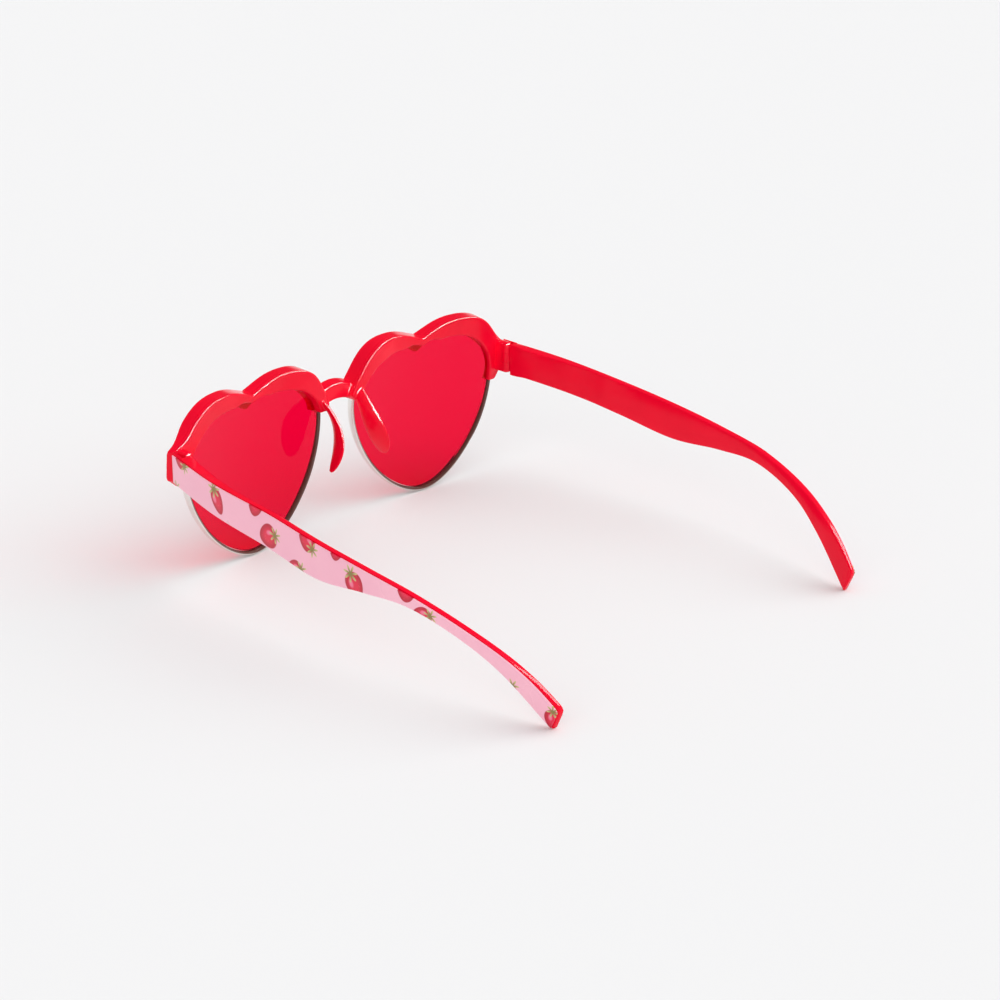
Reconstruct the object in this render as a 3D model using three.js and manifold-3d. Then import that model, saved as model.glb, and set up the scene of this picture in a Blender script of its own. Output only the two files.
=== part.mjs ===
// Heart-shaped browline sunglasses, standing open on the rims and the temple tips.
// Millimetres, +Z up. The front faces -Y, the temples run to +Y, the wearer's left is +X.
// The origin lies on the supporting surface, in the middle of the footprint.

import * as THREE from 'three';
import { mergeVertices } from 'three/addons/utils/BufferGeometryUtils.js';
import Module from 'manifold-3d';

const wasm = await Module();
wasm.setup();

// Front: where the two heart-shaped halves stand
const lensSpacing = 72.2;      // between the axes of the two hearts
const wrapAngle = 4.3;         // degrees each half turns back from the middle
const leanAngle = -0.85;       // degrees the top of the front leans back
const baseRadius = 140;        // ball that each lens is a piece of
const baseDrop = 10;           // foremost point of the ball below the widest level of the lens
const baseReach = 26;          // the ball ends this far from the axis
const endTurn = 6;             // degrees the front turns forward again, further out

// Heart-shaped lens, measured from its axis and from the level where it is widest
const lensWidth = 56.2;
const lensDrop = 34;           // down to the point
const lensRise = 15.6;         // up to the top of a lobe
const lensLobe = 10.5;         // top of a lobe from the axis
const lensDip = 2.1;           // notch below the lobes
const pointBlunt = 0.43;       // curve handles, as shares of the half width, the drop and the rise
const flankFull = 0.51;
const shoulderFull = 0.7;
const crownFull = 0.34;
const notchSweep = 0.6;        // curve handles of the notch, as shares of the lobe and the dip
const notchOpen = 0.2;
const notchFall = 0.57;
const lensThickness = 1.6;
const lensFit = 0.15;          // clearance round the lens

// Brow bar, measured from the same axis and level
const browDepth = 5.3;         // front to rear
const browRear = 2.15;         // rear of the bar behind the middle of the lens
const fittingRear = 2.5;       // hinges, bridge and nose pads are set out from this far behind it
const browLip = 2;             // how far the bar reaches over the lens at its top
const browLipEnd = 0.5;        // the same at its lower ends
const lipFull = 12;            // above the widest level, where the lip is full
const notchRelief = 1.5;       // the rear edge of the opening stands higher at the notch
const notchReliefOut = 7;      // as far out as this
const browRise = 19.6;         // top of a lobe
const browLobe = 14.4;         // top of a lobe from the axis
const browDip = 3.6;           // notch below the lobes
const browNotchOpen = 0.45;    // curve handles, as shares of the lobe, the dip and the flank
const browNotchFall = 0.34;
const browCrown = 0.58;
const flankStart = 0.66;
const flankEnd = 0.77;
const flankHeight = 0.48;
const browTaper = 0.57;        // the rear outline is this much smaller than the front one
const browRound = 0.4;         // rounding of the edges
const waistOut = 30.1;         // waist between the outer lobe and the endpiece
const waistRise = 10.7;
const endpieceOut = 34.5;      // side face of the endpiece
const endpieceRear = 1.25;     // rear of the endpiece behind the middle of the lens
const endpieceRearFrom = 29.5; // the rear falls to it between here and the side face
const endpieceThin = 1.95;     // the bar loses this much of its depth at the front, up to the endpiece
const endpieceThinFrom = 27;
const endpieceThinFull = 33.5;
const browTailDrop = 4.9;      // lower end of the bar on the temple side
const browTailWidth = 2.3;
const noseTopOut = 29.4;       // where the bar meets the bridge
const noseTopRise = 8.8;
const noseEndRise = 2.6;       // lower end of the bar beside the nose
const noseEndWidth = 3.4;
const noseEndSlope = 1.5;      // its lower corner lies this much further from the nose
const noseSwell = 1.35;        // extra depth at the rear, beside the nose
const noseSwellFrom = 13;      // where the swelling starts and is full, inward from the axis
const noseSwellFull = 24;

// Bridge
const bridgeTop = 10.2;        // above the widest level
const bridgeHeight = 5.8;
const bridgeDepth = 3.8;
const bridgeSetIn = 1.75;      // its rear ahead of the bar's rear beside the nose
const bridgeReach = 7;         // how far it runs into each brow bar
const bridgeArch = 2.4;        // how far it falls at its ends

// Nose pads: one curved leaf each
const padWidth = 7.5;
const padThickness = 1.6;
const padRootWidth = 4.6;
const padSpread = 0.62;        // share of its length where it is widest
const padRound = 0.6;          // share of its length where the round end starts
const padClosed = 0.975;       // how nearly the round end closes
const padThin = 0.35;          // thickness of the end, as a share
const padTurn = 20;            // degrees the leaf opens towards the rear
// Its spine, from the bar's rear beside the nose and the widest level
const padTip = new THREE.Vector3(11.3, 6.85, -14);
const padBelly = new THREE.Vector3(5.3, 9.85, -2.3);
const padRoot = new THREE.Vector3(7.6, -0.75, 6.5);

// Rim wires
const wireWidth = 1.2;         // across, in the plane of the lens
const wireDepth = 2.4;         // front to rear
const wireBack = 0.2;          // its middle behind the middle of the lens
const wirePlug = 2.6;          // length plugged into the brow bar
const wireFit = 0.15;
const wireFlat = 0.15;         // worn flat where the wire stands

// Temples
const templeLength = 147.2;     // front end to tip
const templeThickness = 2.4;   // with the printed facing
const templeHeight = 8.4;      // at the hinge
const templeBow = 6.2;         // how far the middle bows out
const templeRise = 2.9;        // middle of the temple at the hinge, above the widest level
const templeEdge = 0.35;       // chamfer along the edges
const templeOut = 0.5;         // front end of the temple outside the endpiece
const tipFlat = 0.25;          // worn flat where the tip stands
const tipHeight = 7.35;
const tipSlant = 3.4;          // the tip's lower corner lies this far ahead of its upper one
const tipBevelDepth = 0.9;     // bevel along the outer upper edge, growing towards the tip
const tipBevelHeight = 1.4;
const tipBevelFrom = 0.9;      // share of the length where it starts

// Printed facing
const printThickness = 0.4;
const printMargin = 0.3;       // red border left round the print
const printGlue = 0.1;

// Hinge
const hingeHeight = 9.8;       // all the knuckles together
const hingeInset = 2.7;        // axis inside the side face of the endpiece
const hingeSetback = 2.6;      // axis behind the brow bar
const knuckleRadius = 1.5;
const knuckleFit = 0.3;        // running clearance round and between the knuckles
const endGap = 0.3;            // between the brow bar and the front end of the temple
const screwRadius = 0.65;
const screwHeadRadius = 1.05;
const screwHeadHeight = 0.6;
const screwFit = 0.1;
const screwSlot = 0.3;
const screwCover = 0.8;        // plastic left above the end of the screw
const hingeBlockLength = 5;    // thicker part of the temple behind the knuckles
const hingeBlockInset = 0.8;   // its inner face inside the knuckles' axis
const hingeBlockOver = 0.2;    // its top and bottom beyond the knuckles

// Finishes
const redPlastic = { color: 0xee0a32, roughness: 0.25, metalness: 0 };
const redLens = { color: 0xf02540, roughness: 0.05, metalness: 0, transparent: true, opacity: 0.75 };
const polishedMetal = { color: 0xd6cbc2, roughness: 0.15, metalness: 1 };
const pinkPrint = { color: 0xf2b5c4, roughness: 0.35, metalness: 0 };
const screwSteel = { color: 0xc4c6c9, roughness: 0.3, metalness: 1 };

const lensLevel = lensDrop + wireWidth - wireFlat;
const hingeLevel = lensLevel + templeRise;
const radians = THREE.MathUtils.degToRad;

// Left half of the front: u outward from the heart's axis, v up from its widest level,
// w to the rear of the ball-shaped middle surface of the lens
const frontTurn = new THREE.Matrix4()
  .makeRotationZ(radians(wrapAngle))
  .multiply(new THREE.Matrix4().makeRotationX(-radians(leanAngle)));

function onFront(u, v, w) {
  const out = Math.min(Math.abs(u), baseReach);
  const ball = (out ** 2 + (v + baseDrop) ** 2) / (2 * baseRadius);
  const forward = Math.max(u - baseReach, 0) * Math.tan(radians(endTurn));
  const point = new THREE.Vector3(u + lensSpacing / 2, w + ball - forward, v).applyMatrix4(frontTurn);
  return point.setZ(point.z + lensLevel);
}

// Solids

const seamWeld = 1e-4;         // seams of a drawn shape close within this
const cutWeld = 1e-6;          // a cut shape is closed already

function toSolid(geometry, weld = seamWeld) {
  const bare = new THREE.BufferGeometry();
  bare.setAttribute('position', geometry.getAttribute('position'));
  bare.setIndex(geometry.getIndex());
  const merged = mergeVertices(bare, weld);
  const vertProperties = new Float32Array(merged.getAttribute('position').array);
  const triVerts = new Uint32Array(merged.getIndex().array);
  return new wasm.Manifold(new wasm.Mesh({ numProp: 3, vertProperties, triVerts }));
}

function toGeometry(body) {
  const { vertProperties, triVerts } = body.getMesh();
  const geometry = new THREE.BufferGeometry();
  geometry.setAttribute('position', new THREE.BufferAttribute(new Float32Array(vertProperties), 3));
  geometry.setIndex(new THREE.BufferAttribute(new Uint32Array(triVerts), 1));
  geometry.computeVertexNormals();
  return geometry;
}

// Skin through closed rings of equal count, closed at both ends by fans round the rings' middles
function loft(rings) {
  const count = rings[0].length;
  const middle = (ring) => ring.reduce((sum, p) => sum.add(p), new THREE.Vector3()).divideScalar(count);
  const points = [...rings.flat(), middle(rings[0]), middle(rings.at(-1))];
  const last = (rings.length - 1) * count;
  const hub = rings.length * count;
  const triangles = [];
  for (let i = 0; i < count; i += 1) {
    const next = (i + 1) % count;
    for (let start = 0; start < last; start += count) {
      const a = start + i;
      const b = start + next;
      triangles.push([a, b, a + count], [b, b + count, a + count]);
    }
    triangles.push([next, i, hub], [last + i, last + next, hub + 1]);
  }
  const volume = triangles.reduce((sum, [a, b, c]) => {
    const cross = new THREE.Vector3().crossVectors(points[b], points[c]);
    return sum + points[a].dot(cross);
  }, 0);
  const outward = volume > 0 ? triangles : triangles.map(([a, b, c]) => [a, c, b]);
  const geometry = new THREE.BufferGeometry().setFromPoints(points);
  geometry.setIndex(outward.flat());
  return toSolid(geometry);
}

function mirrored(body) {
  const geometry = toGeometry(body);
  geometry.scale(-1, 1, 1);
  const index = geometry.getIndex().array;
  for (let i = 0; i < index.length; i += 3) {
    [index[i], index[i + 1]] = [index[i + 1], index[i]];
  }
  return toSolid(geometry, cutWeld);
}

function box(low, high) {
  const size = high.clone().sub(low);
  const geometry = new THREE.BoxGeometry(size.x, size.y, size.z);
  const middle = low.clone().add(high).multiplyScalar(0.5);
  return toSolid(geometry.translate(middle.x, middle.y, middle.z));
}

function upright(radius, x, y, bottom, top) {
  const geometry = new THREE.CylinderGeometry(radius, radius, top - bottom, 32);
  geometry.rotateX(Math.PI / 2);
  return toSolid(geometry.translate(x, y, (bottom + top) / 2));
}

// Everything below the surface the object stands on
const reach = 2 * (templeLength + lensSpacing);
const underground = box(new THREE.Vector3(-reach, -reach, -reach), new THREE.Vector3(reach, reach, 0));

// Heart

// One side of the heart from its point to its notch; sign is +1 towards the temple
function heartSide(sign) {
  const half = lensWidth / 2;
  const at = (u, v) => new THREE.Vector2(sign * u, v);
  const lower = new THREE.CubicBezierCurve(at(0, -lensDrop), at(half * pointBlunt, -lensDrop),
    at(half, -lensDrop * flankFull), at(half, 0));
  const upper = new THREE.CubicBezierCurve(at(half, 0), at(half, lensRise * shoulderFull),
    at(lensLobe + half * crownFull, lensRise), at(lensLobe, lensRise));
  const lobe = new THREE.CubicBezierCurve(at(lensLobe, lensRise), at(lensLobe * notchSweep, lensRise),
    at(lensLobe * notchOpen, lensRise - lensDip * notchFall), at(0, lensRise - lensDip));
  return [lower.getPoints(22), upper.getPoints(14).slice(1), lobe.getPoints(5).slice(1)].flat();
}

// Closed outline from the point round the temple side; every vertex has its outward normal
function heartOutline() {
  const outer = heartSide(1);
  const inner = heartSide(-1).reverse().slice(1, -1);
  const points = [...outer, ...inner];
  return points.map((point, i) => {
    const before = points.at(i - 1);
    const after = points[(i + 1) % points.length];
    const along = after.clone().sub(before).normalize();
    return { point, normal: new THREE.Vector2(along.y, -along.x), side: i < outer.length ? 1 : -1 };
  });
}

const heart = heartOutline();
const browEnd = { 1: -browTailDrop, '-1': noseEndRise };   // lower ends of the brow bar
const offset = ({ point, normal }, out) => point.clone().addScaledVector(normal, out);

// Lens, and the groove that takes it: rings drawn in towards the middle on both faces
function lensBody(growth) {
  const middle = new THREE.Vector2(0, -baseDrop);
  const ring = (w, share) => heart.map((vertex) => {
    const p = middle.clone().lerp(offset(vertex, growth - lensFit), share);
    return onFront(p.x, p.y, w);
  });
  const half = lensThickness / 2 + growth;
  const shares = [0.05, 0.25, 0.5, 0.75, 1];
  const rear = shares.map((share) => ring(half, share));
  const front = shares.map((share) => ring(-half, share)).reverse();
  return loft([...rear, ...front]);
}

// Rim wire and the hole that takes its ends: a rounded section run along the lower edge of the lens
function wireBody(growth) {
  const steps = 12;
  const corner = 1 / Math.cos(Math.PI / steps);
  const run = heart.filter(({ point, side }) => point.y < browEnd[side] + wirePlug + growth);
  const start = run.findIndex(({ side }) => side < 0);
  const path = [...run.slice(start), ...run.slice(0, start)];
  const rings = path.map((vertex) => Array.from({ length: steps }, (_, i) => {
    const angle = 2 * Math.PI * (i + 0.5) / steps;
    const across = Math.cos(angle) * (wireWidth / 2 + growth) * corner;
    const p = offset(vertex, wireWidth / 2 + across);
    return onFront(p.x, p.y, wireBack + Math.sin(angle) * (wireDepth / 2 + growth) * corner);
  }));
  return loft(rings);
}

// Brow bar

// Upper edge of the bar from the notch, towards the temple or the nose
function browTop(sign, end) {
  const at = (u, v) => new THREE.Vector2(sign * u, v);
  const lobe = new THREE.CubicBezierCurve(at(0, browRise - browDip),
    at(browLobe * browNotchOpen, browRise - browDip * browNotchFall),
    at(browLobe * browCrown, browRise), at(browLobe, browRise));
  const fall = end.x - browLobe;
  const flank = new THREE.CubicBezierCurve(at(browLobe, browRise), at(browLobe + fall * flankStart, browRise),
    at(browLobe + fall * flankEnd, end.y + (browRise - end.y) * flankHeight), at(end.x, end.y));
  return [...lobe.getPoints(7), ...flank.getPoints(13).slice(1)];
}

const endpieceTop = templeRise + templeHeight / 2;
const endpieceBottom = templeRise - templeHeight / 2 - browRound;
const noseEndOut = lensWidth / 2 + noseEndWidth;
const noseRear = onFront(-noseEndOut, bridgeTop, fittingRear).y;
const lip = (v) => THREE.MathUtils.lerp(browLipEnd, browLip, THREE.MathUtils.smoothstep(v, 0, lipFull));

// Cross-sections of the bar on one side of the notch: each runs from the outer edge to the opening
function browSections(outer, inner) {
  const lengths = [0, ...new THREE.Path(outer).getCurveLengths()];
  const edge = new THREE.Path(inner);
  return outer.map((point, i) => ({ point, opening: edge.getPoint(lengths[i] / lengths.at(-1)) }));
}

// All cross-sections from the nose to the temple, with the outward normal of the outer edge
function browOutline() {
  const above = heart.filter(({ point, side }) => point.y > browEnd[side] + browLip);
  const edgeOf = (vertex) => offset(vertex, -lip(vertex.point.y));
  const notch = above.findIndex(({ point }) => point.x === 0);
  const opening = above.map(edgeOf);
  const mouth = (vertex) => new THREE.Vector2(edgeOf(vertex).x, browEnd[vertex.side]);
  const noseInner = [mouth(above.at(-1)), ...opening.slice(notch).reverse()];
  const templeInner = [...opening.slice(0, notch + 1).reverse(), mouth(above[0])];
  const noseTop = new THREE.Vector2(noseTopOut, noseTopRise);
  const noseOuter = [new THREE.Vector2(noseEndSlope - noseEndOut, noseEndRise),
    new THREE.Vector2(-noseEndOut, bridgeTop - bridgeHeight), ...browTop(-1, noseTop).reverse()];
  const waist = new THREE.Vector2(waistOut, waistRise);
  const corner = new THREE.Vector2(endpieceOut, endpieceTop);
  const hollow = waist.clone().lerp(corner, 0.5).setY((waistRise + endpieceTop) / 2 - browRound);
  const fall = new THREE.QuadraticBezierCurve(waist, hollow, corner).getPoints(5).slice(1);
  const templeOuter = [...browTop(1, waist), ...fall, new THREE.Vector2(endpieceOut, endpieceBottom),
    new THREE.Vector2(lensWidth / 2 + browTailWidth, -browTailDrop)];
  const sections = [...browSections(noseOuter, noseInner),
    ...browSections(templeOuter, templeInner).slice(1)];
  return sections.map(({ point, opening: inside }, i) => {
    const before = sections[Math.max(i - 1, 0)].point;
    const after = sections[Math.min(i + 1, sections.length - 1)].point;
    const along = after.clone().sub(before).normalize();
    return { point, inside, normal: new THREE.Vector2(-along.y, along.x) };
  });
}

// The rear of the bar swells beside the nose
function swell(u) {
  return noseSwell * THREE.MathUtils.smoothstep(-u, noseSwellFrom, noseSwellFull);
}

// The rear of the bar falls towards the endpiece
function hollow(u) {
  const share = THREE.MathUtils.smoothstep(u, endpieceRearFrom, endpieceOut - browTaper);
  return (browRear - endpieceRear) * share;
}

function browHalf() {
  const rings = browOutline().map(({ point, inside, normal }) => {
    const rear = browRear + swell(point.x);
    const thin = endpieceThin * THREE.MathUtils.smoothstep(point.x, endpieceThinFrom, endpieceThinFull);
    const front = browRear - browDepth + thin;
    const behind = point.clone().addScaledVector(normal, -browTaper);
    const relief = notchRelief * (1 - THREE.MathUtils.smoothstep(Math.abs(inside.x), 0, notchReliefOut));
    const insideRear = new THREE.Vector2(inside.x, inside.y + relief);
    const inward = inside.clone().sub(point).normalize().multiplyScalar(browRound);
    const at = (p, share, w) => {
      const q = p.clone().addScaledVector(inward, share);
      return onFront(q.x, q.y, w);
    };
    const atRear = (p, share, drop) => at(p, share, rear - drop - hollow(p.x));
    return [atRear(behind, 0, browRound), atRear(behind, 1, 0),
      atRear(behind.clone().lerp(insideRear, 0.5), 0, 0), atRear(insideRear, -1, 0),
      atRear(insideRear, 0, browRound), at(inside, 0, front + browRound), at(inside, -1, front),
      at(point.clone().lerp(inside, 0.5), 0, front), at(point, 1, front), at(point, 0, front + browRound)];
  });
  return loft(rings);
}

// Bridge: an arched bar across the middle
function bridgeBody() {
  const sections = 13;
  const half = lensSpacing / 2 - noseEndOut + bridgeReach / 2;
  const rings = Array.from({ length: sections }, (_, i) => {
    const x = half * (2 * i / (sections - 1) - 1);
    const high = lensLevel + bridgeTop - bridgeArch * (x / half) ** 2;
    const low = high - bridgeHeight;
    const at = (y, z) => new THREE.Vector3(x, y, z);
    const rear = noseRear - bridgeSetIn;
    const front = rear - bridgeDepth;
    return [at(rear - browRound, low), at(rear, low + browRound), at(rear, high - browTaper - browRound),
      at(rear - browRound, high - browTaper), at(front + browRound, high), at(front, high - browRound),
      at(front, low + browRound), at(front + browRound, low)];
  });
  return loft(rings);
}

// Nose pad: a leaf that leaves the swollen rear of the bar and sweeps down and back
function padBody() {
  const sections = 15;
  const at = (p) => new THREE.Vector3(p.x, p.y + noseRear, p.z + lensLevel);
  const spine = new THREE.QuadraticBezierCurve3(at(padRoot), at(padBelly), at(padTip));
  const side = new THREE.Vector3(Math.sin(radians(padTurn)), Math.cos(radians(padTurn)), 0);
  const flat = new THREE.Vector3(side.y, -side.x, 0);
  const rings = Array.from({ length: sections }, (_, i) => {
    const t = i / (sections - 1);
    const spread = padRootWidth + (padWidth - padRootWidth) * THREE.MathUtils.smoothstep(t, 0, padSpread);
    const close = Math.sqrt(1 - (padClosed * Math.max(t - padRound, 0) / (1 - padRound)) ** 2);
    const half = spread * close / 2;
    const thin = padThickness * THREE.MathUtils.lerp(padThin, 1, close) / 2;
    const centre = spine.getPoint(t);
    return Array.from({ length: 12 }, (_unused, k) => {
      const angle = 2 * Math.PI * k / 12;
      const p = centre.clone().addScaledVector(side, Math.cos(angle) * half);
      return p.addScaledVector(flat, Math.sin(angle) * thin);
    });
  });
  return loft(rings);
}

// Hinge

const endpieceX = onFront(endpieceOut, templeRise, fittingRear).x;
const endpieceY = onFront(endpieceOut, endpieceTop, endpieceRear).y;
const hingeX = endpieceX - hingeInset;
const hingeY = onFront(endpieceOut - hingeInset, templeRise, fittingRear).y + hingeSetback;
const hingeHalf = hingeHeight / 2;
const knuckleHeight = (2 * hingeHalf - 2 * knuckleFit) / 3;
const hingeBottom = hingeLevel - hingeHalf;
const hingeTop = hingeLevel + hingeHalf;

// Front half of the hinge: an upper and a lower knuckle on arms, and a gusset under the lower one
function hingeArms() {
  const arm = (bottom, top) => {
    const knuckle = upright(knuckleRadius, hingeX, hingeY, bottom, top);
    const root = new THREE.Vector3(hingeX - knuckleRadius, hingeY - hingeSetback - browDepth / 2, bottom);
    return knuckle.add(box(root, new THREE.Vector3(hingeX + knuckleRadius, hingeY, top)));
  };
  const gusset = new THREE.Shape([new THREE.Vector2(hingeY, hingeBottom),
    new THREE.Vector2(hingeY - hingeSetback, lensLevel - browTailDrop + browRound),
    new THREE.Vector2(hingeY - hingeSetback - browDepth / 2, hingeBottom),
    new THREE.Vector2(hingeY - hingeSetback, hingeBottom + knuckleHeight / 2),
    new THREE.Vector2(hingeY, hingeBottom + knuckleHeight / 2)]);
  const wedge = new THREE.ExtrudeGeometry(gusset, { depth: 2 * knuckleRadius, bevelEnabled: false });
  const turned = new THREE.Matrix4().makeBasis(new THREE.Vector3(0, 1, 0), new THREE.Vector3(0, 0, 1),
    new THREE.Vector3(1, 0, 0));
  wedge.applyMatrix4(turned).translate(hingeX - knuckleRadius, 0, 0);
  const lower = arm(hingeBottom, hingeBottom + knuckleHeight);
  const upper = arm(hingeTop - knuckleHeight, hingeTop);
  return [lower.add(toSolid(wedge)), upper];
}

function screwBody(growth) {
  const shank = screwRadius + growth;
  const head = screwHeadRadius + growth;
  const seat = hingeBottom + screwHeadHeight + growth;
  const end = hingeTop - screwCover + growth;
  const profile = [new THREE.Vector2(0, hingeBottom), new THREE.Vector2(head, hingeBottom),
    new THREE.Vector2(head, seat), new THREE.Vector2(shank, seat), new THREE.Vector2(shank, end),
    new THREE.Vector2(0, end)];
  const geometry = new THREE.LatheGeometry(profile, 32);
  return toSolid(geometry.rotateX(Math.PI / 2).translate(hingeX, hingeY, 0));
}

// Temple

// Stations along the temple, as shares of its length, bow, fall to the tip, height and slant of the tip
const templeFall = hingeLevel - tipHeight / 2 + tipFlat;
const templeStations = [
  { along: 0, bow: 0, fall: 0.003, height: 1.08, slant: 0 },
  { along: 0.147, bow: 0.62, fall: 0.074, height: 1.18, slant: 0 },
  { along: 0.316, bow: 0.82, fall: 0.152, height: 1.28, slant: 0 },
  { along: 0.455, bow: 1, fall: 0.233, height: 1.31, slant: 0 },
  { along: 0.584, bow: 0.97, fall: 0.254, height: 0.84, slant: 0 },
  { along: 0.703, bow: 0.8, fall: 0.297, height: 0.45, slant: 0.75 },
  { along: 0.822, bow: 0.34, fall: 0.456, height: 0.38, slant: 0.98 },
  { along: 0.906, bow: -0.22, fall: 0.654, height: 0.49, slant: 1.19 },
  { along: 1, bow: -0.95, fall: 1, height: tipHeight / templeHeight, slant: 1 },
];

// Outer face of the temple: its upper and lower edges as curves through the stations
function templeEdges() {
  const front = endpieceY + endGap;
  const edge = (up) => templeStations.map(({ along, bow, fall, height, slant }) => new THREE.Vector3(
    endpieceX + templeOut + bow * templeBow, front + along * templeLength - (up > 0 ? 0 : slant * tipSlant),
    hingeLevel - fall * templeFall + up * height * templeHeight / 2));
  return [new THREE.CatmullRomCurve3(edge(1)), new THREE.CatmullRomCurve3(edge(-1))];
}

// Middle of the temple's thickness near its front end
function templeMiddle(y) {
  const next = templeStations[1];
  const slope = next.bow * templeBow / (next.along * templeLength);
  return endpieceX + templeOut - templeThickness / 2 + slope * (y - endpieceY - endGap);
}

// A layer of the temple between two depths below its outer face, drawn in from the edges;
// towards the tip its outer upper edge is bevelled, or its whole upper edge is lowered to clear the bevel
function templeLayer(from, to, margin, chamfer, tip) {
  const stations = 44;
  const [upper, lower] = templeEdges();
  const ends = margin / templeLength;
  const rings = Array.from({ length: stations }, (_, i) => {
    const t = THREE.MathUtils.lerp(ends, 1 - ends, i / (stations - 1));
    const high = upper.getPoint(t);
    const low = lower.getPoint(t);
    const up = high.clone().sub(low).normalize();
    const span = high.distanceTo(low);
    const at = (depth, height) => low.clone().addScaledVector(up, height).setX(
      THREE.MathUtils.lerp(low.x, high.x, height / span) - depth);
    const bottom = margin;
    const near = THREE.MathUtils.smoothstep(t, tipBevelFrom, 1);
    const top = span - margin - near * tip.lower;
    return [at(from, bottom + chamfer), at(from + chamfer, bottom), at(to - chamfer, bottom),
      at(to, bottom + chamfer), at(to, top - chamfer), at(to - chamfer, top),
      at(from + chamfer + near * tip.bevelDepth, top), at(from, top - chamfer - near * tip.bevelHeight)];
  });
  return loft(rings).subtract(underground);
}

function templeBody() {
  const arm = templeLayer(printThickness + printGlue, templeThickness, 0, templeEdge,
    { lower: 0, bevelDepth: tipBevelDepth, bevelHeight: tipBevelHeight });
  const clear = knuckleRadius + knuckleFit;
  const low = hingeBottom - templeHeight;
  const high = hingeTop + templeHeight;
  const pocket = upright(clear, hingeX, hingeY, low, high).add(
    box(new THREE.Vector3(hingeX - 3 * clear, hingeY - 3 * clear, low),
      new THREE.Vector3(hingeX + clear, hingeY, high)));
  const blockBack = hingeY + clear + hingeBlockLength;
  const block = new THREE.Shape([new THREE.Vector2(templeMiddle(hingeY), hingeY),
    new THREE.Vector2(templeMiddle(blockBack), blockBack),
    new THREE.Vector2(hingeX - hingeBlockInset, blockBack - 2 * templeThickness),
    new THREE.Vector2(hingeX - hingeBlockInset, hingeY)]);
  const blockDepth = 2 * (hingeHalf + hingeBlockOver);
  const thick = new THREE.ExtrudeGeometry(block, { depth: blockDepth, bevelEnabled: false });
  thick.translate(0, 0, hingeBottom - hingeBlockOver);
  const knuckleBottom = hingeLevel - knuckleHeight / 2;
  const knuckleTop = hingeLevel + knuckleHeight / 2;
  const knuckle = upright(knuckleRadius, hingeX, hingeY, knuckleBottom, knuckleTop).add(
    box(new THREE.Vector3(hingeX, hingeY - knuckleRadius / 2, knuckleBottom),
      new THREE.Vector3(hingeX + clear + knuckleFit, hingeY + clear + knuckleFit, knuckleTop)));
  return arm.add(toSolid(thick)).subtract(pocket).add(knuckle).subtract(
    upright(screwRadius + screwFit, hingeX, hingeY, low, high));
}

// Assembly

const object = new THREE.Group();

function addPiece(name, body, finish) {
  const mesh = new THREE.Mesh(toGeometry(body), new THREE.MeshStandardMaterial(finish));
  mesh.name = name;
  object.add(mesh);
}

const lens = lensBody(0);
const wire = wireBody(0).subtract(underground);
const temple = templeBody();
const print = templeLayer(0, printThickness, printMargin, 0,
  { lower: tipBevelHeight, bevelDepth: 0, bevelHeight: 0 });
const slot = box(new THREE.Vector3(hingeX - knuckleRadius, hingeY - screwSlot / 2, hingeBottom - screwSlot),
  new THREE.Vector3(hingeX + knuckleRadius, hingeY + screwSlot / 2, hingeBottom + screwSlot));
const screw = screwBody(0).subtract(slot);

const half = [padBody(), ...hingeArms()].reduce((body, part) => body.add(part), browHalf());
const cuts = [lensBody(lensFit), wireBody(wireFit), screwBody(screwFit)];
const front = cuts.reduce((body, cut) => body.subtract(cut).subtract(mirrored(cut)),
  half.add(bridgeBody()).add(mirrored(half)));
addPiece('brow_frame', front, redPlastic);

for (const [side, hand] of [['left', (body) => body], ['right', mirrored]]) {
  addPiece(`lens_${side}`, hand(lens), redLens);
  addPiece(`rim_wire_${side}`, hand(wire), polishedMetal);
  addPiece(`temple_${side}`, hand(temple), redPlastic);
  addPiece(`temple_print_${side}`, hand(print), pinkPrint);
  addPiece(`hinge_screw_${side}`, hand(screw), screwSteel);
}

const extent = new THREE.Box3().setFromObject(object);
object.position.y = -(extent.min.y + extent.max.y) / 2;

export default object;
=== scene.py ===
import math
import bmesh
import bpy
from mathutils import Matrix, Vector


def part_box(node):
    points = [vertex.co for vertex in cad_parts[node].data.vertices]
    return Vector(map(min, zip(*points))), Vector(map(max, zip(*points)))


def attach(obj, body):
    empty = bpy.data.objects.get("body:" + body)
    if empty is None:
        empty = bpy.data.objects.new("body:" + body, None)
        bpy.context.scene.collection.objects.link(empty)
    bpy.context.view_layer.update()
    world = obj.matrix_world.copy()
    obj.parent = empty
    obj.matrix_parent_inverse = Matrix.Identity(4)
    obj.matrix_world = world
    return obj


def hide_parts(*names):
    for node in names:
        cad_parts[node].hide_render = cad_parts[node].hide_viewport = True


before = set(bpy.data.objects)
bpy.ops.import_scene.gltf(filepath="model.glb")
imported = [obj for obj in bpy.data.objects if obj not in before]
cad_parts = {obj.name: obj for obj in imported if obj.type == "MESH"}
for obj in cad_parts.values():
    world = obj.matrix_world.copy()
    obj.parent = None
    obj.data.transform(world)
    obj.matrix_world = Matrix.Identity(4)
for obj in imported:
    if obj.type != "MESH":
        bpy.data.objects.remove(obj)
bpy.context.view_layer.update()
mm = 0.001
print("frame loaded")

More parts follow.
